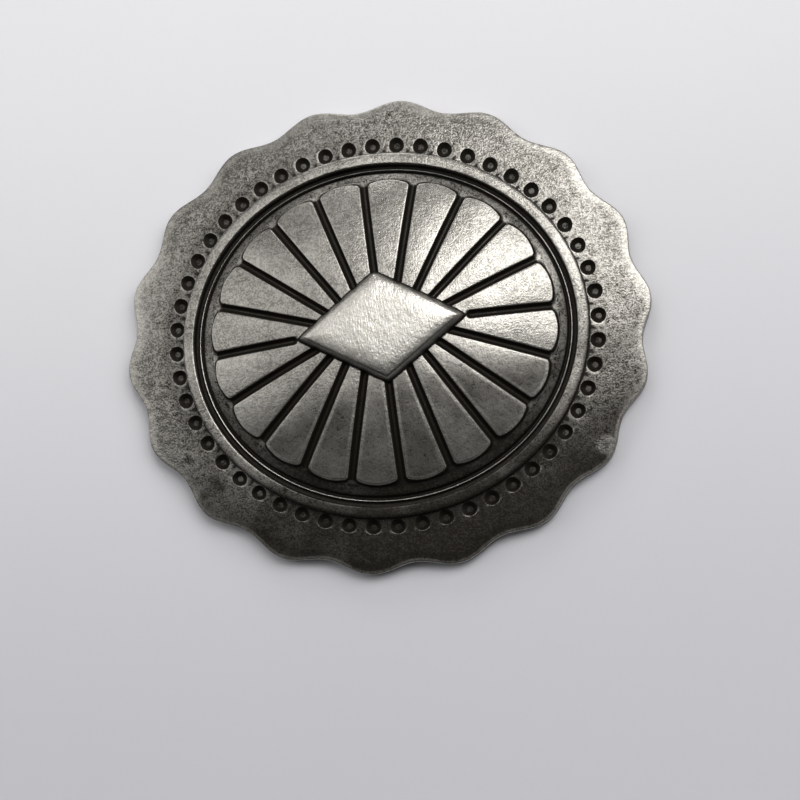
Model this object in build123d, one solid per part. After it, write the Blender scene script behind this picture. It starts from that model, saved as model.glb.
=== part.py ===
from build123d import *
import os
from math import cos, hypot, pi, sin, sqrt

# An oval cast concho stud, lying on its rim. Millimetres, +Z out of the face, +X along the long axis.
# The origin is in the middle of the plane that the rim rests on.

# Flange
half_length = 19.0          # centre to a scallop's tip, along X
half_width = 17.02          # centre to the oval that touches the tips, along Y
scallop_count = 18
scallop_depth = 0.72        # tip to valley
rim_thickness = 1.25        # height of the edge, before rounding
edge_round = 0.35
flange_end = 3.69           # scallop's valley to the foot of the ring, along X
flange_side = 3.23          # the same along Y
flange_rise = 0.45          # climb from the edge to the foot of the ring
flange_crown = 0.06         # bulge above a straight slope, half way up

# Pits round the ring
pit_count = 52
pit_radius = 0.52
pit_floor_radius = 0.25
pit_depth = 0.30
pit_offset = 0.60           # foot of the ring to the line of pits

# Raised ring, and the groove, ridge and band inside it
ring_width = 0.83
ring_height = 0.63
ring_shoulder = 0.50        # rounding of its outer top
groove_width = 0.33
groove_depth = 0.15         # below the foot of the ring
ridge_width = 0.16
ridge_height = 0.38         # above the floor of the groove
line_width = 0.20           # sunk line between ridge and band
band_width = 0.66
band_foot = 0.22            # outer edge of the band above the floor of the groove
band_rise = 0.55

# Fan of petals
petal_count = 20
petal_thickness = 0.37
petal_bulge = 0.30          # how far its end bows out past its corners
petal_corner = 0.22
slot_width = 0.56           # gap between two petals
slot_aim = 2.50             # the slots aim at points of the long axis, up to this far out
fan_rise = 1.40             # petals' ends to the top of the fan
fan_skirt = 3.50            # how far the fan's dome would run on past the petals' ends

# Rhombus in the middle
rhombus_half_length = 6.28
rhombus_half_width = 4.08
rhombus_bevel = 0.30        # how far its sides lean in
rhombus_corner = 0.30
rhombus_lift = 0.12         # its tips above the top of the fan
rhombus_crown = 0.60        # its middle above its tips
rhombus_skirt = 1.50        # how far its dome would run on past its tips
tip_gap = 0.14              # land between a tip and the slot beyond it

# Hollow back
rim_land = 1.25             # flat that the stud rests on, inside the valleys
shelf_depth = 0.43          # hollow under the flange
core_wall = 1.12            # metal between the domed hollow and the floor under the petals
core_draft = 1.12           # how far the domed hollow's side leans in

# Post in its boss
post_radius = 2.00
post_recess = 0.30          # end of the post to the rim's plane
post_cap = 0.40             # closed end of the post
post_chamfer = 0.15
post_clearance = 0.02
pin_bore_radius = 1.30
boss_wall = 1.10
boss_recess = 0.90          # end of the boss to the rim's plane
boss_roof = 1.30            # metal above the socket

# Ovals inside the flange
ring_half_length = half_length - scallop_depth - flange_end
ring_half_width = half_width - scallop_depth - flange_side
ridge_outer = ring_width + groove_width
ridge_inner = ridge_outer + ridge_width
band_outer = ridge_inner + line_width
fan_inset = band_outer + band_width
fan_half_length = ring_half_length - fan_inset
fan_half_width = ring_half_width - fan_inset

# Heights above the rim's plane
ring_foot_z = rim_thickness + flange_rise
ring_top_z = ring_foot_z + ring_height
groove_z = ring_foot_z - groove_depth
ridge_z = groove_z + ridge_height
band_outer_z = groove_z + band_foot
band_inner_z = band_outer_z + band_rise
petal_end_z = band_inner_z + petal_thickness
fan_top_z = petal_end_z + fan_rise
rhombus_top_z = fan_top_z + rhombus_lift + rhombus_crown
socket_z = rhombus_top_z - boss_roof

UPWARDS = (Align.CENTER, Align.CENTER, Align.MIN)


def snug(radius, *walls):
    """Rounding radius, kept within the walls that it runs along."""
    return min(radius, *[0.9 * wall for wall in walls])


def rim_oval(inset, z):
    """Oval inside the scallops' tips by inset."""
    return Pos(0, 0, z) * Ellipse(half_length - inset, half_width - inset)


def oval(inset, z):
    """Oval inside the foot of the ring by inset."""
    return Pos(0, 0, z) * Ellipse(ring_half_length - inset, ring_half_width - inset)


def oval_block(inset, low, high):
    return extrude(oval(inset, low), high - low)


def dome(length, width, skirt, rise, top_z):
    """Half-buried ellipsoid that falls by rise from its top to the oval of the given half sizes."""
    spread = (length + skirt) / length
    tall = rise / (1 - sqrt(1 - 1 / spread ** 2))
    size = (length * spread, width * spread, tall)
    return Pos(0, 0, top_z - tall) * scale(Sphere(1), by=size)


def fan_dome(drop):
    """Dome of the petals, lowered by drop."""
    return dome(fan_half_length, fan_half_width, fan_skirt, fan_rise, fan_top_z - drop)


def scalloped_outline():
    """Wave round the oval, with a tip at each end of the long axis."""
    points_per_scallop = 8
    steps = scallop_count * points_per_scallop
    points = []
    for i in range(steps):
        turn = 2 * pi * i / steps
        inset = scallop_depth / 2 * (1 - cos(scallop_count * turn))
        points.append(((half_length - inset) * cos(turn), (half_width - inset) * sin(turn)))
    return make_face(Spline(points, periodic=True))


def flange():
    """Scalloped plate with a gently domed top and a rounded edge, open inside the ring."""
    past_tips = -rim_thickness
    slope = flange_rise / flange_end
    low_z = rim_thickness + slope * (past_tips - scallop_depth)
    middle_z = rim_thickness + flange_rise / 2 + flange_crown
    top = loft([
        rim_oval(past_tips, low_z),
        rim_oval(scallop_depth + flange_end / 2, middle_z),
        oval(0, ring_foot_z),
    ])
    base = extrude(rim_oval(past_tips, 0), low_z)
    plate = extrude(scalloped_outline(), ring_top_z) & (base + top)
    upper = [edge for edge in plate.edges() if edge.center().Z > rim_thickness / 2]
    rim = max(upper, key=lambda edge: edge.length)
    plate = fillet(rim, snug(edge_round, rim_thickness))
    return plate - oval_block(ring_width / 2, 0, ring_top_z)


def ring():
    """Raised bead with a rounded outer shoulder and a steep inner wall."""
    bead = oval_block(0, groove_z, ring_top_z)
    shoulder = bead.edges().group_by(Axis.Z)[-1]
    bead = fillet(shoulder, snug(ring_shoulder, ring_width, ring_top_z - groove_z))
    return bead - oval_block(ring_width, groove_z, ring_top_z)


def field():
    """Floor of the groove, fine ridge, sloping band and the floor under the petals."""
    floor = oval_block(ring_width / 2, 0, groove_z)
    ridge = oval_block(ridge_outer, 0, ridge_z) - oval_block(ridge_inner, 0, ridge_z)
    band = oval_block(band_outer, 0, band_outer_z)
    band += loft([oval(band_outer, band_outer_z), oval(fan_inset, band_inner_z)], ruled=True)
    fan_floor = oval_block(fan_inset, 0, fan_top_z) & fan_dome(petal_thickness)
    return floor + ridge + band + fan_floor


def evenly_round(a, b, count, lead):
    """Points at equal distances along an oval, the first one lead spaces past the long axis."""
    fine = 40 * count
    turns = [2 * pi * i / fine for i in range(fine + 1)]
    runs = [0.0]
    for turn in turns[1:]:
        middle = turn - pi / fine
        runs.append(runs[-1] + hypot(a * sin(middle), b * cos(middle)))
    points = []
    here = 0
    for i in range(count):
        wanted = runs[-1] * (i + lead) / count
        while runs[here + 1] < wanted:
            here += 1
        share = (wanted - runs[here]) / (runs[here + 1] - runs[here])
        turn = turns[here] + share * (turns[here + 1] - turns[here])
        points.append((a * cos(turn), b * sin(turn)))
    return points


def slot(end):
    """Middle line of the slot with that outer end: a point of the long axis and a direction."""
    x, y = end
    start = slot_aim * x / fan_half_length
    run = hypot(x - start, y)
    return (start, 0), ((x - start) / run, y / run)


def beside(line, shift):
    """The line moved to its left by shift."""
    (x, y), (ux, uy) = line
    return (x - uy * shift, y + ux * shift), (ux, uy)


def crossing(first, second):
    """Where two lines cross."""
    (x, y), (ux, uy) = first
    (other_x, other_y), (vx, vy) = second
    run = ((other_x - x) * vy - (other_y - y) * vx) / (ux * vy - uy * vx)
    return (x + ux * run, y + uy * run)


def on_oval(inset, line):
    """Where the line meets the oval inside the foot of the ring by inset."""
    a = ring_half_length - inset
    b = ring_half_width - inset
    (x, y), (ux, uy) = line
    square = (ux / a) ** 2 + (uy / b) ** 2
    cross = x * ux / a ** 2 + y * uy / b ** 2
    beyond = (x / a) ** 2 + (y / b) ** 2 - 1
    run = (sqrt(cross ** 2 - square * beyond) - cross) / square
    return (x + ux * run, y + uy * run)


def petal_outline(before, after, crest):
    """Wedge between two slots, with a bowed end and round corners."""
    start = beside(before, slot_width / 2)
    end = beside(after, -slot_width / 2)
    apex = crossing(start, end)
    first = on_oval(fan_inset + petal_bulge, start)
    last = on_oval(fan_inset + petal_bulge, end)
    face = make_face([Line(apex, first), ThreePointArc(first, crest, last), Line(last, apex)])
    corners = [v for v in face.vertices() if hypot(v.X, v.Y) > rhombus_half_length]
    return fillet(corners, petal_corner)


def tip_land(side):
    """Metal that joins two petals round a tip of the rhombus, up to the slot's round end."""
    start = rhombus_half_length - slot_width
    end = rhombus_half_length + tip_gap + slot_width / 2
    bar = Pos((start + end) / 2 * side, 0) * Rectangle(end - start, 2 * slot_width)
    return bar - Pos(end * side, 0) * Circle(slot_width / 2)


def petals():
    """All the petals, with one domed top."""
    ends = evenly_round(fan_half_length, fan_half_width, 2 * petal_count, 0)
    slots = [slot(end) for end in ends[::2]]
    crests = ends[1::2]
    outlines = [petal_outline(slots[i - 1], slots[i], crests[i - 1]) for i in range(petal_count)]
    outlines += [tip_land(1), tip_land(-1)]
    return Part() + [extrude(face, fan_top_z) for face in outlines] & fan_dome(0)


def rhombus_face(inset, z):
    """Rhombus with round corners, its sides moved in by inset."""
    slant = hypot(rhombus_half_length, rhombus_half_width)
    x = rhombus_half_length - inset * slant / rhombus_half_width
    y = rhombus_half_width - inset * slant / rhombus_half_length
    face = make_face(Polyline((x, 0), (0, y), (-x, 0), (0, -y), close=True))
    return Pos(0, 0, z) * fillet(face.vertices(), rhombus_corner)


def rhombus():
    """Pillow-topped rhombus with leaning sides."""
    sides = loft([rhombus_face(0, petal_end_z), rhombus_face(rhombus_bevel, rhombus_top_z)], ruled=True)
    return sides & dome(rhombus_half_length, rhombus_half_width, rhombus_skirt, rhombus_crown, rhombus_top_z)


def pits():
    """Punched pits with leaning walls, outside the ring."""
    pit = Cone(pit_floor_radius, pit_radius, pit_depth)
    z = ring_foot_z - pit_depth / 2
    line = evenly_round(ring_half_length + pit_offset, ring_half_width + pit_offset, pit_count, 0.5)
    return [Pos(x, y, z) * pit for x, y in line]


def hollow():
    """Hollow of the back: shallow under the flange, domed under the fan."""
    edge = scallop_depth + rim_land
    shelf = loft([rim_oval(edge, 0), rim_oval(edge + shelf_depth, shelf_depth)], ruled=True)
    mouth = band_outer + core_wall
    core = loft([oval(mouth, 0), oval(mouth + core_draft, fan_top_z)], ruled=True)
    return shelf + (core & fan_dome(petal_thickness + core_wall))


def boss():
    """Socket boss that grips the post, in the middle of the hollow."""
    radius = post_radius + post_clearance + boss_wall
    return Pos(0, 0, boss_recess) * Cylinder(radius, socket_z - boss_recess, align=UPWARDS)


def socket():
    return Cylinder(post_radius + post_clearance, socket_z, align=UPWARDS)


def concho():
    """The casting: face, hollow back and boss in one piece of metal."""
    face = flange() + field() + ring() + petals() + rhombus()
    return face - pits() - hollow() + boss() - socket()


def rivet_post():
    """Plain tube, closed at its upper end, that takes a rivet's pin from below."""
    length = socket_z - post_clearance - post_recess
    tube = Cylinder(post_radius, length, align=UPWARDS)
    tube -= Cylinder(pin_bore_radius, length - post_cap, align=UPWARDS)
    rings = tube.edges().filter_by(GeomType.CIRCLE).group_by(Axis.Z)
    tube = chamfer(rings[0] + rings[-1], post_chamfer)
    return Pos(0, 0, post_recess) * tube


os.makedirs("parts", exist_ok=True)
export_step(concho(), "parts/concho.step")
export_step(rivet_post(), "parts/rivet_post.step")
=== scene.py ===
from math import atan2, ceil, cos, hypot, pi, radians, sin, sqrt

import bmesh
import bpy
from mathutils import Matrix, Vector, noise


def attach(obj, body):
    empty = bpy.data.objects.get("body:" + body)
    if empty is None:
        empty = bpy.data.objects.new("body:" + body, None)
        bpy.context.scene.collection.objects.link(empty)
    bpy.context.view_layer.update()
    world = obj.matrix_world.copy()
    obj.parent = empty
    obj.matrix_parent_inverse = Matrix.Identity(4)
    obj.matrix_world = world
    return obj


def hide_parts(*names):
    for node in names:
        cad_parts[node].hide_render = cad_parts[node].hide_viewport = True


# An oval cast concho stud in antique silver, lying on a pale table.
# Shapes are worked out in millimetres and scaled to metres when a mesh is finished.

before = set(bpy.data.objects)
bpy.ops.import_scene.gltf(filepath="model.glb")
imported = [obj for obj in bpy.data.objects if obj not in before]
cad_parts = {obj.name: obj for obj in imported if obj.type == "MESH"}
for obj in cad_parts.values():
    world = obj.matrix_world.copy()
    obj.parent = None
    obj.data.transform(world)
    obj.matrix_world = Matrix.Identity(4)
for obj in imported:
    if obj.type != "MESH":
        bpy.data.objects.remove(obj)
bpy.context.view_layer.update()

MM = 0.001

# Sizes of the casting, as in the part's source
half_length = 19.0
half_width = 17.02
scallop_count = 18
scallop_depth = 0.72
rim_thickness = 1.25
flange_end = 3.69
flange_side = 3.23
flange_rise = 0.45
flange_crown = 0.06
pit_count = 52
pit_radius = 0.52
pit_depth = 0.30
pit_offset = 0.60
ring_width = 0.83
ring_height = 0.63
groove_width = 0.33
groove_depth = 0.15
ridge_width = 0.16
ridge_height = 0.38
line_width = 0.20
band_width = 0.66
band_foot = 0.22
band_rise = 0.55
petal_count = 20
petal_thickness = 0.37
petal_bulge = 0.30
petal_corner = 0.22
slot_width = 0.56
slot_aim = 2.50
fan_rise = 1.40
fan_skirt = 3.50
rhombus_half_length = 6.28
rhombus_half_width = 4.08
rhombus_lift = 0.12
rhombus_crown = 0.60
rhombus_skirt = 1.50
rim_land = 1.25
shelf_depth = 0.43
core_wall = 1.12
core_draft = 1.12
post_radius = 2.00
post_clearance = 0.02
boss_wall = 1.10
boss_recess = 0.90
boss_roof = 1.30

ring_half_length = half_length - scallop_depth - flange_end
ring_half_width = half_width - scallop_depth - flange_side
ridge_outer = ring_width + groove_width
ridge_inner = ridge_outer + ridge_width
band_outer = ridge_inner + line_width
fan_inset = band_outer + band_width
fan_half_length = ring_half_length - fan_inset
fan_half_width = ring_half_width - fan_inset
socket_radius = post_radius + post_clearance
boss_radius = socket_radius + boss_wall
inradius = rhombus_half_length * rhombus_half_width / hypot(rhombus_half_length, rhombus_half_width)

ring_foot_z = rim_thickness + flange_rise
ring_top_z = ring_foot_z + ring_height
groove_z = ring_foot_z - groove_depth
ridge_z = groove_z + ridge_height
band_outer_z = groove_z + band_foot
band_inner_z = band_outer_z + band_rise
petal_end_z = band_inner_z + petal_thickness
fan_top_z = petal_end_z + fan_rise
rhombus_top_z = fan_top_z + rhombus_lift + rhombus_crown
socket_z = rhombus_top_z - boss_roof

# Edges and worn shapes of the real casting, where the part's source is plainer or a little different
edge_round = 0.30           # top edge of the rim
rim_roll = 0.60             # worn fall beside the edge
rim_drop = 0.10             # how far the surface falls in it
foot_round = 0.08           # edge of the rim's foot, and of the boss
side_row_z = 0.45           # height of the row between the rim's edge and its foot
pit_floor_radius = 0.23
pit_lip = 0.04              # rounding of a pit's edge and of its floor's
lip_sink = 0.005            # depth of a pit half way over its lip
lip_fall = 0.02             # and at its edge
wall_lean = 0.21            # lean of a petal's wall
petal_lip = 0.04            # rounding of a petal's edge
petal_crown = 0.03          # middle of a petal above its edges
petal_gap = 0.10            # sunk line round the petals' ends
gap_blend = 0.04            # width of the blend from that line to the band
band_slope = 0.40           # rise of the band for each millimetre inwards
wall_top = 0.05             # walls of groove and ridge lean: their tops lie this far back
wall_foot = 0.03            # and their feet stand this far out
bead_edge_height = 0.22     # inner edge of the raised ring, which keeps a painted highlight
bead_edge_width = 0.13
bead_fall = 0.05            # how far the ring's top falls outwards
bead_lean = 0.04            # lean of its outer side
bead_shoulder = 0.42        # rounding between the two
bead_foot_height = 0.28     # dark foot of that side: patina and painted shadow
rhombus_bevel = 0.34        # how far the rhombus's sides lean in
rhombus_foot_blend = 0.7    # share of their height over which the petals' relief ends in them
tip_gap = 0.02              # land between a tip of the rhombus and the slot beyond it
tip_round = 0.25            # worn away from the rhombus's far corners
side_round = 0.06           # worn away from its near corners
top_round = 0.16            # worn edge of the rhombus's face
pillow = 0.65               # how far in from its edge the face starts to fall
pillow_fall = 0.11          # share of its height lost at the edge
face_crown = 0.22           # middle of the rhombus's face above its corners
face_wear = 0.04            # worn off its top

# Small waves of a hand-made pattern: length and height of the long and of the short ones
wave_length = 2.6
wave_height = 0.022
ripple_length = 0.9
ripple_height = 0.010
ripple_shift = Vector((7, 3, 1))
face_up = 0.2               # they lie where the surface faces up at least this much

# How far the pattern lies off centre: share of the ring's foot oval, then shifts along X and Y
drift_rows = (
    (0.30, 0.10, 0.22),
    (0.85, 0.0, 0.06),
    (0.93, -0.04, -0.08),
    (1.00, -0.02, -0.03),
    (1.045, 0.02, -0.07),
    (1.08, 0.0, 0.0),
)

# Patina and painted shade, from 0 where the metal is bare to 1 where it is black
# Side towards the light: painted shade darkens the flange and the petals away from it
lit_side = Vector((-0.08, 1.0))
# Side towards which the painted shade between the pits fades out
pit_lit_side = Vector((0.83, 0.55))
flange_patina = 0.02        # least patina of the flange, on its lit side
flange_painted_shade = 0.75           # painted shade added on the side away from the light
flange_shade_run = (-0.1, 0.85)       # where it starts and where it is full, in half widths
petal_shade = 0.60            # most painted shade on the petals, on the side away from the light
petal_shade_run = (0, 0.35)
bead_shade_share = 1.0              # share of the flange's patina and painted shade that lies on the raised ring too
band_shade_share = 0.5              # share that lies on the band too
pit_dullness = 0.46         # patina and painted shade between the pits
pit_shade_fade_run = (0.2, 1.0)   # where its painted shade fades out towards the lit side, in half lengths
dull_width = 1.30           # how far outwards from the pits it fades
foot_dark_run = (0.10, 0.45)        # how the dark foot of the raised ring, patina and painted shadow, fades to the pits
lip_dark = -0.02            # dark line along a petal's edge: end of its darkest part
lip_patina = 0.10           # and its end on the petal
lip_highlight = 0.6              # share of the patina and painted shade left off petals' edges and the outer lips of pits, a painted highlight
lip_highlight_end = 3 * lip_patina
end_line = 0.14             # width of the dark line along the petals' ends: patina and painted shadow of their walls
slot_reflection_width = 0.035     # lighter line in the middle of a slot's floor, a painted reflection
slot_reflection_patina = 0.66    # least patina in it, where the painted reflection lies
band_patina = 0.42
edge_highlight_line = 0.25            # share of the edge's round above the painted highlight line that runs along it
edge_highlight_fade = 0.5        # share of the round from there to full patina and painted shade
back_patina = 0.45

# Patches of the flange with more patina, or less where below zero: place, radius and patina. The first
# three, at the right, the top and the left, are painted shade; the others are stains and marks.
stains_and_painted_shade = (
    (15.4, -1.0, 4.2, 0.20),
    (-0.5, 15.0, 5.0, 0.19),
    (-15.6, 1.5, 3.8, 0.10),
    (-13.6, -8.6, 0.55, 0.20),
    (-13.2, -9.1, 0.60, 0.18),
    (-13.9, -9.2, 0.45, 0.12),
    (-15.3, -6.9, 0.40, 0.30),
    (-14.5, -9.5, 0.40, 0.15),
    (14.4, -10.0, 0.80, -0.45),
)

# Grain, from 0 where the metal is smooth to 1 where it is as cast
flange_grain = 1.0
edge_grain = 0.45
rim_worn = 1.05             # width of the smoother metal beside the rim's edge
side_grain = 0.5
lip_grain = 0.6
wall_grain = 0.3
bead_grain = 0.58
band_grain = 0.8
petal_grain = 0.48
face_grain = 0.05
bevel_grain = 0.2
pit_wall_grain = 0.1
pit_floor_grain = 0.9
back_grain = 0.8

# Mesh
slot_lines = (0.0, 0.05, 0.10, 0.16, 0.22, 0.27, 0.33)     # columns beside a slot's middle
petal_columns = 26
columns = petal_count * petal_columns
pit_columns = columns // pit_count
pit_band = 0.58             # half the width of the band of squares round the pits
pit_side_rows = 6           # steps across that band
pit_square_rows = 2         # rows from a square to its pit
crowding = 0.5              # how much closer the columns stand near a petal's corners
fan_rows = 25
fan_lean = 1.5              # how much closer the rows stand near the rhombus
# Rows at a petal's end, by how far short of it they lie
end_steps = (0.30, 0.20, 0.13, 0.08, 0.04, 0.0, -0.03, -0.06, -0.09)
sunk_rows = 3               # rows from the last of them to the sunk line
rim_rows = 8
shelf_steps = 3
wall_steps = 2
ceiling_steps = 6
ceiling_start = 0.33        # share of the hollow's lean at which its wall meets the ceiling
rhombus_spacing = 0.28      # longest steps of the cross-sections
moulding_spacing = 0.17
pit_spacing = 0.14
edge_spacing = 1.0
foot_spacing = 0.5
corner_step = 0.15          # a rounding this long takes one more step than the least, two
oval_steps = 8              # straight pieces for each point when an oval is measured
halvings = 40               # steps of the search for the rhombus's foot
weld = 0.0005


def dome_z(x, y, length, width, skirt, rise, top_z):
    """Height of an ellipsoid that falls by rise from its top to the oval of the given half sizes."""
    spread = (length + skirt) / length
    tall = rise / (1 - sqrt(1 - 1 / spread ** 2))
    across = (x / (length * spread)) ** 2 + (y / (width * spread)) ** 2
    return top_z - tall + tall * sqrt(1 - across)


def fan_z(x, y):
    return dome_z(x, y, fan_half_length, fan_half_width, fan_skirt, fan_rise, fan_top_z)


def rhombus_z(x, y):
    size = (rhombus_half_length, rhombus_half_width, rhombus_skirt, face_crown)
    return dome_z(x, y, *size, rhombus_top_z - face_wear)


def flange_z(outward):
    """Height of the flange at a distance outside the foot of the ring."""
    share = outward / flange_end
    return rim_thickness + flange_rise * (1 - share) + 4 * flange_crown * share * (1 - share)


def smooth(value, low, high):
    """0 up to low, 1 from high, and an even ease between them."""
    share = min(1.0, max(0.0, (value - low) / (high - low)))
    return share * share * (3 - 2 * share)


def mix(a, b, share):
    return a + (b - a) * share


def oval_point(inset, turn):
    """Point of the oval inside the foot of the ring by inset."""
    return (ring_half_length - inset) * cos(turn), (ring_half_width - inset) * sin(turn)


def line_to(turn):
    """Middle line of the slot that ends at turn of the fan's oval: a start and a direction."""
    start = Vector((slot_aim * cos(turn), 0))
    end = Vector((fan_half_length * cos(turn), fan_half_width * sin(turn)))
    return start, (end - start).normalized()


def beside(line, shift):
    """The line moved to its left by shift."""
    start, ahead = line
    return start + shift * Vector((-ahead.y, ahead.x)), ahead


def on_oval(inset, line):
    """Where a line meets the oval inside the foot of the ring by inset."""
    a = ring_half_length - inset
    b = ring_half_width - inset
    start, ahead = line
    square = (ahead.x / a) ** 2 + (ahead.y / b) ** 2
    cross = start.x * ahead.x / a ** 2 + start.y * ahead.y / b ** 2
    beyond = (start.x / a) ** 2 + (start.y / b) ** 2 - 1
    return start + ahead * (sqrt(cross ** 2 - square * beyond) - cross) / square


def on_rhombus(line):
    """Where a line meets the worn foot of the rhombus."""
    round_x = side_round * rhombus_half_length / rhombus_half_width
    round_y = tip_round * rhombus_half_width / rhombus_half_length
    start, ahead = line
    low, high = 0.0, 2 * rhombus_half_length
    for _ in range(halvings):
        run = (low + high) / 2
        point = start + ahead * run
        far = hypot(point.x, round_x) / rhombus_half_length
        far += hypot(point.y, round_y) / rhombus_half_width
        low, high = (run, high) if far < 1 else (low, run)
    return point


def even_turns(a, b, count):
    """Turns of points at equal distances along an oval, from the long axis right round to it."""
    fine = oval_steps * count
    runs = [0.0]
    for i in range(fine):
        turn = 2 * pi * (i + 0.5) / fine
        runs.append(runs[-1] + hypot(a * sin(turn), b * cos(turn)))
    turns = []
    here = 0
    for i in range(count):
        wanted = runs[-1] * i / count
        while runs[here + 1] <= wanted:
            here += 1
        share = (wanted - runs[here]) / (runs[here + 1] - runs[here])
        turns.append(2 * pi * (here + share) / fine)
    return turns + [2 * pi]


slots = [line_to(turn) for turn in even_turns(fan_half_length, fan_half_width, petal_count)]
pit_turns = even_turns(ring_half_length + pit_offset, ring_half_width + pit_offset, columns)


def fan_point(column, reach):
    """Plan point of a column of the fan, where reach says that a line ends."""
    petal, place = divmod(column, petal_columns)
    last = len(slot_lines) - 1
    if place <= last:
        return reach(beside(slots[petal], slot_lines[place]))
    if place >= petal_columns - last:
        return reach(beside(slots[petal + 1], -slot_lines[petal_columns - place]))
    share = (place - last) / (petal_columns - 2 * last)
    share -= crowding * sin(2 * pi * share) / (2 * pi)
    first = reach(beside(slots[petal], slot_lines[last]))
    end = reach(beside(slots[petal + 1], -slot_lines[last]))
    turn = first.angle_signed(end)
    ahead = first.normalized()
    ahead.rotate(Matrix.Rotation(-share * turn, 2))
    return reach((Vector((0, 0)), ahead))


def slot_distances(point, petal):
    """Distances from a petal's point to the middle lines of the slots beside it."""
    return [abs((point - start).cross(ahead)) for start, ahead in slots[petal:petal + 2]]


def end_inset(column):
    """Inset of a petal's bowed, round-cornered end, and of the bow alone."""
    point = fan_point(column, lambda line: on_oval(fan_inset, line))
    before, after = slot_distances(point, column // petal_columns)
    half = (before + after - slot_width) / 2
    inside = min(before, after) - slot_width / 2
    across = min(1.0, 1 - inside / half)
    bow = fan_inset + petal_bulge * across ** 2
    short = petal_corner - min(petal_corner, max(0.0, inside))
    return bow + petal_corner - sqrt(petal_corner ** 2 - short ** 2), bow


rhombus_foot = [fan_point(column, on_rhombus) for column in range(columns)]
petal_ends = [end_inset(column) for column in range(columns)]


def drift(x, y):
    """How far the pattern lies off centre there."""
    share = hypot(x / ring_half_length, y / ring_half_width)
    before = drift_rows[0]
    for row in drift_rows:
        if share <= row[0]:
            part = (share - before[0]) / max(weld, row[0] - before[0])
            return Vector((mix(before[1], row[1], part), mix(before[2], row[2], part), 0))
        before = row
    return Vector((0, 0, 0))


def uneven(co):
    """Small waves of a hand-made pattern, cast into the surface."""
    wave = noise.noise(co / wave_length)
    ripple = noise.noise(co / ripple_length + ripple_shift)
    return wave_height * wave + ripple_height * ripple


def patina_and_painted_shade(x, y):
    """Patina of the flange, with painted shade that darkens it away from the lit side, and its stains
    and patches of painted shade.
    """
    here = Vector((x, y))
    patina_and_shade = flange_patina + flange_painted_shade * smooth(-here.dot(lit_side) / half_width, *flange_shade_run)
    for across, up, radius, more in stains_and_painted_shade:
        patina_and_shade += more * (1 - smooth((here - Vector((across, up))).length, radius / 2, radius))
    return patina_and_shade


def petal_painted_shade(point):
    """Painted shade of the petals, which darkens them away from the lit side and leaves that side
    plain.
    """
    return petal_shade * smooth(-point.dot(lit_side) / half_width, *petal_shade_run)


def pit_patina_and_shade(x, y):
    """Patina and painted shade between the pits: at least the flange's, and more that fades out towards
    the lit side.
    """
    lit = smooth(Vector((x, y)).dot(pit_lit_side) / half_length, *pit_shade_fade_run)
    return max(patina_and_painted_shade(x, y), pit_dullness * (1 - lit))


def section(corners, spacing):
    """Cross-section through corners, each of two coordinates, a rounding, a patina and a grain."""
    stops = [Vector((a, b, patina_and_shade, grain)) for a, b, rounding, patina_and_shade, grain in corners]
    points = [stops[0]]
    for i in range(1, len(stops)):
        corner = stops[i]
        rounding = corners[i][2]
        start = points[-1]
        enter = corner.lerp(start, min(0.5, rounding / (corner - start).xy.length))
        steps = ceil((enter - start).xy.length / spacing)
        points += [start.lerp(enter, step / steps) for step in range(1, steps + 1)]
        if rounding and i + 1 < len(stops):
            leave = corner.lerp(stops[i + 1], min(0.5, rounding / (stops[i + 1] - corner).xy.length))
            turns = 2 + round(rounding / corner_step)
            for step in range(1, turns + 1):
                share = step / turns
                points.append(enter.lerp(corner, share).lerp(corner.lerp(leave, share), share))
    return points


# Cross-section of the rhombus: way in from its foot, share of its height, rounding, patina, grain
rhombus_rows = section([
    (inradius, 1.0, 0, 0.0, face_grain),
    (rhombus_bevel + pillow, 1.0, pillow, 0.0, face_grain),
    (rhombus_bevel, 1 - pillow_fall, top_round, 0.1, bevel_grain),
    (0.05, 0.1, 0.05, 0.9, bevel_grain),
    (0.0, 0.0, 0, 1.0, bevel_grain),
], rhombus_spacing)

# Cross-section from the petals' ends out to the pits: inset from the foot of the raised ring,
# height, rounding, patina, grain. A patina below zero keeps painted shade off a row: painted highlights
# along the ridge's top and the raised ring's inner edge.
moulding_rows = section([
    (fan_inset - petal_gap, band_inner_z - band_slope * petal_gap, 0, 0.7, side_grain),
    (fan_inset - petal_gap - gap_blend, band_inner_z - band_slope * (petal_gap + gap_blend), 0,
     band_patina, band_grain),
    (band_outer + wall_top, band_inner_z - band_slope * (band_width - wall_top), 0.05,
     band_patina, band_grain),
    (band_outer - wall_foot, groove_z, 0.05, 1.0, wall_grain),
    (ridge_inner + wall_foot, groove_z, 0.05, 1.0, wall_grain),
    (ridge_inner - wall_top, ridge_z, 0.03, -0.25, bevel_grain),
    (ridge_outer + wall_top, ridge_z, 0.03, -0.25, bevel_grain),
    (ridge_outer - wall_foot, groove_z, 0.05, 1.0, wall_grain),
    (ring_width + wall_foot, groove_z, 0.06, 1.0, wall_grain),
    (ring_width, ring_top_z - bead_edge_height, 0.03, 0.6, wall_grain),
    (ring_width - 0.03, ring_top_z - 0.01, 0.05, -0.15, side_grain),
    (ring_width - bead_edge_width, ring_top_z, 0, 0.02, bead_grain),
    (bead_lean, ring_top_z - bead_fall, bead_shoulder, 0.0, bead_grain),
    (0.01, ring_foot_z + bead_foot_height, 0, 0.85, side_grain),
    (0.0, ring_foot_z, 0.06, 1.0, wall_grain),
    (-pit_offset + pit_band, flange_z(pit_offset - pit_band), 0, 1.0, wall_grain),
], moulding_spacing)

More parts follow.
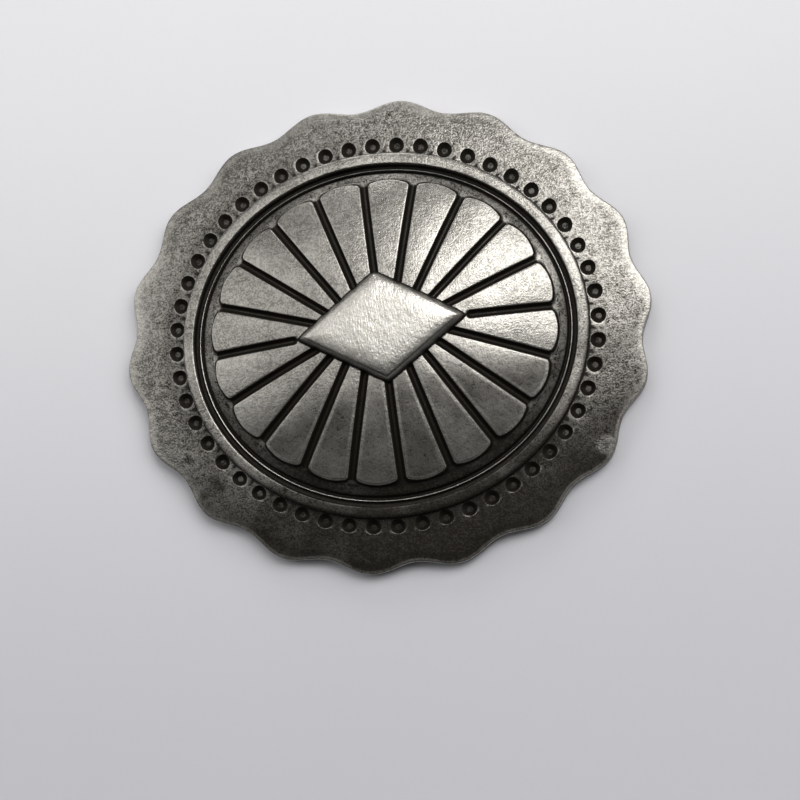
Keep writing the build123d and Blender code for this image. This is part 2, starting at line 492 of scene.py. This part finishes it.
# Cross-section of a pit: radius, depth, rounding, patina, grain. Its first rows lie in the square.
pit_rows = [Vector((pit_radius + pit_lip, 0, 0, flange_grain))] * pit_square_rows + section([
    (pit_radius + pit_lip, 0.0, 0, 0.3, lip_grain),
    (pit_radius + pit_lip / 2, lip_sink, 0, 1.0, wall_grain),
    (pit_radius, lip_fall, pit_lip, 1.0, pit_wall_grain),
    (pit_floor_radius, pit_depth, pit_lip, 1.0, pit_wall_grain),
    (pit_floor_radius - pit_lip, pit_depth, 0, 0.62, pit_floor_grain),
    (0.0, pit_depth, 0, 0.58, pit_floor_grain),
], pit_spacing)

# Round of the rim's edge: way in from the outline, drop, rounding, patina, grain
edge_rows = section([
    (edge_round, 0.0, 0, 0.0, edge_grain),
    (0.0, 0.0, edge_round, 0.0, edge_grain),
    (0.0, edge_round, 0, 0.3, edge_grain),
], edge_spacing)[1:]

# Foot of the rim: way in from the outline, height, rounding, patina, grain. Its patina is partly
# painted shade
foot_rows = section([
    (0.0, side_row_z, 0, 0.5, side_grain),
    (0.0, 0.0, foot_round, 0.6, side_grain),
    (foot_round, 0.0, 0, 0.6, side_grain),
], foot_spacing)


def patch(bm, wide, tall, place):
    """Grid whose vertices go where place says, each with its patina and painted shade, and its grain.
    """
    patina_layer = bm.verts.layers.float["patina_and_shade"]
    grain_layer = bm.verts.layers.float["grain"]
    grid = bmesh.ops.create_grid(bm, x_segments=wide, y_segments=tall, size=0.5)
    for vert in grid["verts"]:
        column = round((vert.co.x + 0.5) * wide)
        row = round((vert.co.y + 0.5) * tall)
        x, y, z, patina_and_shade, grain = place(column, row)
        vert.co = (x, y, z)
        vert[patina_layer] = patina_and_shade
        vert[grain_layer] = grain


def fan_surface(point, petal, bow_short):
    """Height, patina and grain of the fan. The point lies short of the petal's bow by bow_short."""
    before, after = slot_distances(point, petal)
    half = max(petal_lip, (before + after - slot_width) / 2)
    off = min(before, after)
    slot_start = rhombus_half_length - tip_round + tip_gap + slot_width / 2
    if abs(point.y) < slot_width and abs(point.x) < slot_start:
        off = hypot(slot_start - abs(point.x), point.y)
    side = off - slot_width / 2
    inside = min(side, bow_short)
    if side < petal_corner and bow_short < petal_corner:
        inside = petal_corner - hypot(petal_corner - side, petal_corner - bow_short)
    rise = smooth(inside, -wall_lean, petal_lip)
    across = min(1.0, max(0.0, 1 - side / half))
    crown = petal_crown * min(1.0, half) * (1 - across ** 2)
    z = fan_z(*point) - petal_thickness * (1 - rise) + crown * rise
    patina_and_shade = 1 - smooth(inside, lip_dark, lip_patina)
    if bow_short > 0:
        # Lighter line in the middle of a slot's floor: a painted reflection
        line = min(1.0, slot_reflection_patina + patina_and_painted_shade(*point))
        patina_and_shade *= mix(line, 1, smooth(off, slot_reflection_width / 2, 2 * slot_reflection_width))
    else:
        # Band beyond the petals' ends, with the flange's patina and painted shade
        band = min(1.0, band_patina + band_shade_share * patina_and_painted_shade(*point))
        patina_and_shade = mix(patina_and_shade, band, smooth(-inside, end_line / 2, end_line))
    # Painted shade on the petals, left off their edges as a painted highlight
    highlit_edge = smooth(inside, lip_patina / 2, lip_patina)
    highlit_edge *= 1 - smooth(inside, lip_patina, lip_highlight_end)
    patina_and_shade = max(patina_and_shade, petal_painted_shade(point) * (1 - lip_highlight * highlit_edge))
    return z, patina_and_shade, petal_grain * (1 - patina_and_shade)


def fan_place(column, row):
    """Petals and slots, from the foot of the rhombus to the sunk line round the petals' ends."""
    column %= columns
    petal = column // petal_columns
    end, bow = petal_ends[column]
    last_inset = fan_inset - petal_gap
    if row <= fan_rows:
        share = (row / fan_rows) ** fan_lean
        first = rhombus_foot[column]
        last = fan_point(column, lambda line: on_oval(end + end_steps[0], line))
        point = first.lerp(last, share)
        short = end_steps[0] + (1 - share) * (last - first).length
        z, patina_and_shade, grain = fan_surface(point, petal, short + end - bow)
        return point.x, point.y, z, patina_and_shade, grain
    step = row - fan_rows
    if step < len(end_steps):
        inset = end + end_steps[step]
    else:
        share = (step - len(end_steps) + 1) / sunk_rows
        inset = mix(end + end_steps[-1], last_inset, share)
    point = fan_point(column, lambda line: on_oval(inset, line))
    z, patina_and_shade, grain = fan_surface(point, petal, inset - bow)
    past = max(0.0, fan_inset - inset)
    if past:
        z = min(z, band_inner_z - band_slope * past)
    if inset == last_inset:
        z = band_inner_z - band_slope * past
    return point.x, point.y, z, patina_and_shade, grain


def rhombus_place(column, row):
    """Rhombus, from its middle down its leaning side to its foot."""
    column %= columns
    foot = rhombus_foot[column]
    point = foot * (1 - rhombus_rows[row].x / inradius)
    _, share, patina_and_shade, grain = rhombus_rows[row]
    foot_z = fan_surface(foot, column // petal_columns, fan_half_width)[0]
    low_z = mix(foot_z, fan_z(*foot), smooth(share, 0, rhombus_foot_blend))
    return point.x, point.y, mix(low_z, rhombus_z(*point), share), patina_and_shade, grain


def moulding_place(column, row):
    """Band, sunk line, ridge, groove and the raised ring round them."""
    inset, z, patina_and_shade, grain = moulding_rows[row]
    x, y = fan_point(column % columns, lambda line: on_oval(inset, line))
    slot_turn = atan2(y / (ring_half_width - inset), x / (ring_half_length - inset))
    full_turns = round((pit_turns[column] - slot_turn) / (2 * pi))
    slot_turn += 2 * pi * full_turns
    turn = mix(slot_turn, pit_turns[column], row / (len(moulding_rows) - 1))
    x, y = oval_point(inset, turn)
    # Patina and painted shade of the flange, carried onto the band and the raised ring
    shade_share = bead_shade_share if inset < ring_width else band_shade_share
    return x, y, z, min(1.0, patina_and_shade + shade_share * patina_and_painted_shade(x, y)), grain


def pit_placer(index):
    """Square of the flange round one pit, down to the pit's floor."""
    first = index * pit_columns
    turn = pit_turns[first + pit_columns // 2]
    centre = Vector(oval_point(-pit_offset, turn))
    outward = Vector((cos(turn) / ring_half_length, sin(turn) / ring_half_width)).normalized()
    along = Vector((-outward.y, outward.x))

    def border(step):
        """Column of a step round the square, and how far out it lies."""
        if step <= pit_columns:
            return first + step, 0.0
        step -= pit_columns
        if step <= pit_side_rows:
            return first + pit_columns, step / pit_side_rows
        step -= pit_side_rows
        if step <= pit_columns:
            return first + pit_columns - step, 1.0
        return first, 1 - (step - pit_columns) / pit_side_rows

    def place(step, row):
        column, side = border(step)
        out = pit_offset + pit_band * (2 * side - 1)
        edge = Vector(oval_point(-out, pit_turns[column]))
        if row == 0:
            # Dark foot of the raised ring, patina and painted shadow, fading to the pits' patina and
            # painted shade
            patina_and_shade = mix(1.0, pit_patina_and_shade(*edge), smooth(side, *foot_dark_run))
            return edge.x, edge.y, flange_z(out), patina_and_shade, flange_grain
        angle = atan2((edge - centre).dot(outward), (edge - centre).dot(along))
        radius, depth, patina_and_shade, grain = pit_rows[row]
        here = centre + radius * (cos(angle) * along + sin(angle) * outward)
        height = flange_z(pit_offset + radius * sin(angle)) - depth
        if row < pit_square_rows:
            here = edge.lerp(here, row / pit_square_rows)
            height = flange_z(mix(out, pit_offset + radius * sin(angle), row / pit_square_rows))
            patina_and_shade = pit_patina_and_shade(*here)
        # Patina and painted shade of the flange, left off the pits' outer lips as a painted highlight
        outer_lip = max(0.0, sin(angle)) if row == pit_square_rows else 0.0
        patina_and_shade = max(patina_and_shade, patina_and_painted_shade(*here) * (1 - lip_highlight * outer_lip))
        return here.x, here.y, height, patina_and_shade, grain

    return place


def outline_point(turn, inward):
    """Point inside the scalloped outline by inward."""
    inset = scallop_depth / 2 * (1 - cos(scallop_count * turn)) + inward
    return (half_length - inset) * cos(turn), (half_width - inset) * sin(turn)


def rim_place(column, row):
    """Flange outside the pits, its rolled edge, its side and the round at its foot."""
    turn = pit_turns[column]
    inner = Vector(oval_point(-pit_offset - pit_band, turn))
    outer = Vector(outline_point(turn, 0))
    wide = (outer - inner).length

    def top_z(inward):
        outward = pit_offset + pit_band + wide - inward
        return flange_z(outward) - rim_drop * (1 - smooth(inward, 0, rim_roll))

    if row <= rim_rows:
        inward = mix(wide, edge_round, row / rim_rows)
        here = inner.lerp(outer, 1 - inward / wide)
        rough = smooth(inward, edge_round, rim_worn)
        near_pits = 1 - smooth(wide - inward, 0, dull_width)
        # Patina and painted shade of the flange, darker near the pits
        patina_and_shade = mix(patina_and_painted_shade(*here), pit_patina_and_shade(*here), near_pits)
        return here.x, here.y, top_z(inward), patina_and_shade, mix(edge_grain, flange_grain, rough)
    step = row - rim_rows
    if step < len(edge_rows):
        inward, drop, patina_and_shade, grain = edge_rows[step]
        x, y = outline_point(turn, inward)
        here = inner.lerp(outer, 1 - inward / wide)
        # Patina and painted shade on the edge's round, left off along a line as a painted highlight
        off_highlight = smooth(abs(drop / edge_round - edge_highlight_line), 0, edge_highlight_fade)
        patina_and_shade = max(patina_and_shade, patina_and_painted_shade(*here) * off_highlight)
        return here.x, here.y, top_z(edge_round) - drop, patina_and_shade, grain
    inward, z, patina_and_shade, grain = foot_rows[step - len(edge_rows)]
    here = inner.lerp(outer, 1 - inward / wide)
    # Side of the rim, with the flange's patina and painted shade
    return here.x, here.y, z, max(patina_and_shade, patina_and_painted_shade(*here)), grain


def hollow_z(x, y, inset):
    """Height of the hollow's leaning wall and domed ceiling."""
    wall = fan_top_z * (inset - band_outer - core_wall) / core_draft
    return min(wall, fan_z(x, y) - petal_thickness - core_wall)


def back_loops():
    """Ovals from the edge's foot across the hollow back, down the boss and up its socket."""
    mouth = band_outer + core_wall
    shelf_top = mouth + core_draft * shelf_depth / fan_top_z
    ceiling = mouth + core_draft * ceiling_start
    rim_inset = scallop_depth + rim_land
    shelf_inset = rim_inset + shelf_depth
    loops = [(half_length - rim_inset, half_width - rim_inset, 0.0)]
    for step in range(shelf_steps + 1):
        share = step / shelf_steps
        a = mix(half_length - shelf_inset, ring_half_length - shelf_top, share)
        b = mix(half_width - shelf_inset, ring_half_width - shelf_top, share)
        loops.append((a, b, shelf_depth))
    for step in range(1, wall_steps + 1):
        inset = mix(shelf_top, ceiling, step / wall_steps)
        a = ring_half_length - inset
        loops.append((a, ring_half_width - inset, hollow_z(a, 0, inset)))
    for step in range(1, ceiling_steps + 1):
        share = step / ceiling_steps
        a = mix(ring_half_length - ceiling, boss_radius, share)
        b = mix(ring_half_width - ceiling, boss_radius, share)
        loops.append((a, b, None))
    circles = (
        (boss_radius, boss_recess + foot_round),
        (boss_radius - foot_round, boss_recess),
        (socket_radius, boss_recess),
        (socket_radius, socket_z),
        (0.0, socket_z),
    )
    return loops + [(radius, radius, z) for radius, z in circles]


back_rows = back_loops()


def back_place(column, row):
    """Underside of the rim, and the hollow back."""
    turn = pit_turns[column]
    if row == 0:
        return rim_place(column, rim_rows + len(edge_rows) + len(foot_rows) - 1)
    a, b, z = back_rows[row - 1]
    x, y = a * cos(turn), b * sin(turn)
    if z is None:
        z = fan_z(x, y) - petal_thickness - core_wall
    return x, y, z, back_patina, back_grain


def cast_concho():
    """The casting, as one closed mesh."""
    bm = bmesh.new()
    bm.verts.layers.float.new("patina_and_shade")
    bm.verts.layers.float.new("grain")
    patch(bm, columns, len(rhombus_rows) - 1, rhombus_place)
    patch(bm, columns, fan_rows + len(end_steps) - 1 + sunk_rows, fan_place)
    patch(bm, columns, len(moulding_rows) - 1, moulding_place)
    for index in range(pit_count):
        patch(bm, 2 * (pit_columns + pit_side_rows), len(pit_rows) - 1, pit_placer(index))
    for vert in bm.verts:
        vert.co += drift(vert.co.x, vert.co.y)
    patch(bm, columns, rim_rows + len(edge_rows) + len(foot_rows) - 1, rim_place)
    patch(bm, columns, len(back_rows), back_place)
    bmesh.ops.remove_doubles(bm, verts=bm.verts, dist=weld)
    bmesh.ops.recalc_face_normals(bm, faces=bm.faces)
    bm.normal_update()
    waves = [(vert, vert.normal * uneven(vert.co)) for vert in bm.verts if vert.normal.z > face_up]
    for vert, wave in waves:
        vert.co += wave
    return finish_mesh(bm, "cast_concho")


def finish_mesh(bm, name):
    """Object of a bmesh in millimetres, with its place in its mesh."""
    bmesh.ops.scale(bm, vec=(MM, MM, MM), verts=bm.verts)
    for face in bm.faces:
        face.smooth = True
    mesh = bpy.data.meshes.new(name)
    bm.to_mesh(mesh)
    bm.free()
    made = bpy.data.objects.new(name, mesh)
    bpy.context.scene.collection.objects.link(made)
    return made


class Number:
    """A shader number, whose arithmetic adds Math nodes."""

    def __init__(self, finish, socket):
        self.finish = finish
        self.socket = socket

    def __add__(self, other):
        return self.finish.math("ADD", self, other)

    def __radd__(self, other):
        return self.finish.math("ADD", other, self)

    def __sub__(self, other):
        return self.finish.math("SUBTRACT", self, other)

    def __rsub__(self, other):
        return self.finish.math("SUBTRACT", other, self)

    def __mul__(self, other):
        return self.finish.math("MULTIPLY", self, other)

    def __rmul__(self, other):
        return self.finish.math("MULTIPLY", other, self)

    def __pow__(self, other):
        return self.finish.math("POWER", self, other)


class Finish:
    """A material, built up node by node."""

    def __init__(self, name):
        self.material = bpy.data.materials.new(name)
        self.material.use_nodes = True
        self.tree = self.material.node_tree
        self.tree.nodes.clear()
        self.place = self.node("ShaderNodeTexCoord").outputs["Object"]

    def node(self, kind, settings=None, sockets=None):
        made = self.tree.nodes.new(kind)
        for name, value in (settings or {}).items():
            setattr(made, name, value)
        for name, value in (sockets or {}).items():
            value = value.socket if isinstance(value, Number) else value
            if isinstance(value, bpy.types.NodeSocket):
                self.tree.links.new(value, made.inputs[name])
            else:
                made.inputs[name].default_value = value
        return made

    def number(self, socket):
        return Number(self, socket)

    def math(self, operation, first, second):
        made = self.node("ShaderNodeMath", {"operation": operation}, {0: first, 1: second})
        return self.number(made.outputs[0])

    def attribute(self, name):
        made = self.node("ShaderNodeAttribute", {"attribute_name": name})
        return self.number(made.outputs["Fac"])

    def grain(self, size, detail=2.0, roughness=0.5, stretch=None):
        """Noise with lumps of about the given size in millimetres.

        stretch is a turn of the noise about Z, and how many times longer along Y its lumps are.
        """
        place = self.place
        if stretch:
            turn, factor = stretch
            sockets = {"Vector": place, "Rotation": (0, 0, turn), "Scale": (1.0, 1.0 / factor, 1.0)}
            place = self.node("ShaderNodeMapping", {}, sockets).outputs[0]
        sockets = {"Vector": place, "Scale": 1 / (size * MM), "Detail": detail, "Roughness": roughness}
        return self.number(self.node("ShaderNodeTexNoise", {}, sockets).outputs[0])

    def ease(self, value, low, high):
        """0 up to low, 1 from high, and an even ease between them."""
        settings = {"interpolation_type": "SMOOTHSTEP"}
        sockets = {"Value": value, "From Min": low, "From Max": high}
        return self.number(self.node("ShaderNodeMapRange", settings, sockets).outputs[0])

    def colour(self, share, first, second):
        made = self.node("ShaderNodeMix", {"data_type": "RGBA"}, {0: share, 6: first, 7: second})
        return made.outputs[2]

    def surface(self, sockets, height=None, depth=0.0):
        """Principled surface, with a bump of the given depth in millimetres."""
        if height is not None:
            bump = self.node("ShaderNodeBump", {}, {"Distance": depth * MM, "Height": height})
            sockets = {**sockets, "Normal": bump.outputs[0]}
        shader = self.node("ShaderNodeBsdfPrincipled", {}, sockets)
        self.node("ShaderNodeOutputMaterial", {}, {"Surface": shader.outputs[0]})
        return self.material


# Antique silver: colours, and sizes of its grain in millimetres
silver_light = (0.75, 0.72, 0.66, 1)
silver_dark = (0.128, 0.121, 0.107, 1)
patina_and_shade_brown = (0.016, 0.013, 0.009, 1)
fine_size = 0.12
lump_size = 0.38
cloud_size = 3.0
lump_roughness = 0.6        # share of finer lumps on them
scratch_size = 0.10
scratch_turn = radians(50)
scratch_stretch = 5.0       # how much longer than wide scratches are
silver_relief = 0.03        # depth of its bump

# Where clouds, speckle, spots and darkness start, and where they are full
cloud_run = (0.35, 0.65)
speckle_run = (0.38, 0.62)
spot_run = (0.30, 0.44)
dark_run = (0.2, 0.8)

# Shares of these in the silver's tone, patina, gloss and relief
cloud_least = 0.6           # grain left between the clouds
cloud_gain = 0.5            # and what the clouds add to it
speckle_fine = 0.6
speckle_lumps = 0.4
spot_fine = 0.5
spot_lumps = 0.5
smooth_tone = 0.70          # how much lighter smooth metal is
speckle_tone = 0.20         # contrast of the speckle on smooth metal
speckle_tone_gain = 0.24    # and what cast metal adds to it
cloud_tone = 0.24
tone_shift = 0.02
patina_least = 0.7          # patina between the clouds
patina_gain = 0.6
spot_patina = 0.54          # patina that gathers in the spots of cast metal
speckle_bare = 0.09         # flecks of cast metal that patina leaves bare
silver_roughness = 0.31
patina_roughness = 0.25
grain_roughness = 0.03
patina_dullness = 0.5       # how much less metallic full patina is
fine_height = 0.15
fine_height_gain = 0.85
lump_height = 0.85
lump_height_loss = 1.2      # lumps are flattest where metal is neither smooth nor as cast
scratch_height = 0.6
silver_specular = 0.3


def antique_silver():
    """Cast grain, dark patina in the low places and bare silver on the high ones, with painted shade
    and painted highlights carried in the same attribute as the patina.
    """
    finish = Finish("antique_silver_finish")
    patina_and_shade = finish.attribute("patina_and_shade")
    fine = finish.grain(fine_size, detail=1.0)
    lumps = finish.grain(lump_size, roughness=lump_roughness)
    cloud = finish.grain(cloud_size)
    scratches = finish.grain(scratch_size, stretch=(scratch_turn, scratch_stretch))
    coarse = finish.attribute("grain") * (cloud_least + finish.ease(cloud, *cloud_run) * cloud_gain)
    speckle = finish.ease(fine * speckle_fine + lumps * speckle_lumps, *speckle_run)
    spots = 1 - finish.ease(fine * spot_fine + lumps * spot_lumps, *spot_run)

    contrast = speckle_tone + coarse * speckle_tone_gain
    tone = (1 - coarse) ** 2 * smooth_tone + (speckle - 0.5) * contrast + cloud * cloud_tone
    silver = finish.colour(tone - tone_shift, silver_dark, silver_light)
    clouded = patina_and_shade * (patina_least + cloud * patina_gain)
    dark = finish.ease(clouded + spots * coarse * spot_patina, *dark_run)
    dark = dark * (1 - speckle * coarse * speckle_bare)
    colour = finish.colour(dark, silver, patina_and_shade_brown)

    roughness = silver_roughness + dark * patina_roughness + coarse * grain_roughness
    height = fine * (fine_height + coarse * fine_height_gain)
    height = height + lumps * (lump_height - coarse * (1 - coarse) * lump_height_loss)
    height = height + scratches * (1 - coarse) * scratch_height
    sockets = {
        "Base Color": colour,
        "Metallic": 1 - dark * patina_dullness,
        "Roughness": roughness,
        "Specular IOR Level": silver_specular,
    }
    return finish.surface(sockets, height, silver_relief)


# Plated steel of the post
steel_dark = (0.42, 0.41, 0.39, 1)
steel_light = (0.60, 0.59, 0.57, 1)
steel_grain_size = 0.25
steel_line_size = 0.12      # fine lines in the plate
steel_line_stretch = 20.0
steel_roughness = 0.28
steel_line_roughness = 0.2
steel_relief = 0.01


def plated_steel():
    """Satin plate of the hidden post."""
    finish = Finish("plated_steel_finish")
    fine = finish.grain(steel_grain_size)
    lines = finish.grain(steel_line_size, stretch=(0, steel_line_stretch))
    sockets = {
        "Base Color": finish.colour(fine, steel_dark, steel_light),
        "Metallic": 1.0,
        "Roughness": steel_roughness + lines * steel_line_roughness,
    }
    return finish.surface(sockets, lines, steel_relief)


# Table: its colour near, darkened as painted shade, and far, and the half length of the painted fade
# between them
board_painted_shade = (0.745, 0.745, 0.785, 1)
board_lit = (0.985, 0.975, 1.0, 1)
board_shade_fade = 30
board_shade_share = 0.9
board_cloud_size = 22.0
board_cloud_share = 0.1
board_roughness = 0.65
board_specular = 0.3
floor_size = 2.0            # metres


def table_top():
    """Pale board that the stud lies on, with painted shade towards its near side."""
    finish = Finish("pale_board")
    cloud = finish.grain(board_cloud_size)
    ahead = finish.number(finish.node("ShaderNodeSeparateXYZ", {}, {0: finish.place}).outputs["Y"])
    # Painted shade: the board darkens towards its near side
    shade_fade = finish.ease(ahead, -board_shade_fade * MM, board_shade_fade * MM)
    colour = finish.colour(shade_fade * board_shade_share + cloud * board_cloud_share, board_painted_shade, board_lit)
    sockets = {"Base Color": colour, "Roughness": board_roughness, "Specular IOR Level": board_specular}
    return finish.surface(sockets)


# Camera, fitted to the photo's ovals and pits: 800 pixels across at a focal length of 2000 pixels
camera_place = (17.061, -21.315, 141.45)
camera_right = (0.98258, -0.13069, -0.13215)
camera_up = (0.14427, 0.98458, 0.09898)
camera_back = (0.11717, -0.11632, 0.98628)
camera_lens = 90.0
camera_sensor = 36.0
camera_nearest = 0.005      # metres
camera_farthest = 10.0


def add_camera():
    """Camera at the photo's angle."""
    data = bpy.data.cameras.new("camera")
    data.lens = camera_lens
    data.sensor_width = camera_sensor
    data.clip_start = camera_nearest
    data.clip_end = camera_farthest
    camera = bpy.data.objects.new("camera", data)
    turn = Matrix((camera_right, camera_up, camera_back)).transposed()
    camera.matrix_world = Matrix.Translation(Vector(camera_place) * MM) @ turn.to_4x4()
    bpy.context.scene.collection.objects.link(camera)
    bpy.context.scene.camera = camera


def add_floor():
    """The table, as stage."""
    bm = bmesh.new()
    bmesh.ops.create_grid(bm, x_segments=1, y_segments=1, size=floor_size / 2 / MM)
    floor = finish_mesh(bm, "table")
    floor.data.materials.append(table_top())


# Soft lights: name, azimuth and elevation in degrees, distance and size in metres, watts
lights = (
    ("window", 22, 40, 0.45, 0.30, 0.48),
    ("window_high", 45, 56, 0.45, 0.24, 0.38),
    ("window_top", 52, 68, 0.45, 0.18, 0.29),
    ("overhead", 92, 79, 0.45, 0.22, 0.165),
    ("left", 160, 40, 0.45, 0.30, 0.19),
    ("left_high", 130, 57, 0.45, 0.26, 0.12),
    ("left_side", 175, 58, 0.45, 0.24, 0.07),
    ("right_high", 0, 56, 0.45, 0.24, 0.035),
    ("right_low", 337, 40, 0.45, 0.30, 0.05),
    ("floor_right", 80, 16, 0.45, 0.34, 0.12),
    ("floor_left", 150, 18, 0.45, 0.34, 0.12),
    ("floor_side", 165, 18, 0.45, 0.34, 0.07),
    ("near_top", 95, 24, 0.17, 0.08, 0.05),
)
world_grey = (0.01, 0.01, 0.01, 1)


def add_lights():
    """The soft lights, and a faint grey all round."""
    for name, azimuth, elevation, distance, size, power in lights:
        data = bpy.data.lights.new(name, "AREA")
        data.shape = "DISK"
        data.size = size
        data.energy = power
        lamp = bpy.data.objects.new(name, data)
        a, e = radians(azimuth), radians(elevation)
        direction = Vector((cos(a) * cos(e), sin(a) * cos(e), sin(e)))
        turn = direction.to_track_quat("Z", "Y").to_matrix().to_4x4()
        lamp.matrix_world = Matrix.Translation(direction * distance) @ turn
        bpy.context.scene.collection.objects.link(lamp)
    world = bpy.data.worlds.new("room")
    world.use_nodes = True
    world.node_tree.nodes["Background"].inputs["Color"].default_value = world_grey
    bpy.context.scene.world = world


add_camera()
concho = cast_concho()
concho.data.materials.append(antique_silver())
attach(concho, "root")
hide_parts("concho")

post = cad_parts["rivet_post"]
post.data.materials.clear()
post.data.materials.append(plated_steel())

add_floor()
add_lights()
bpy.context.scene.view_settings.view_transform = "Standard"
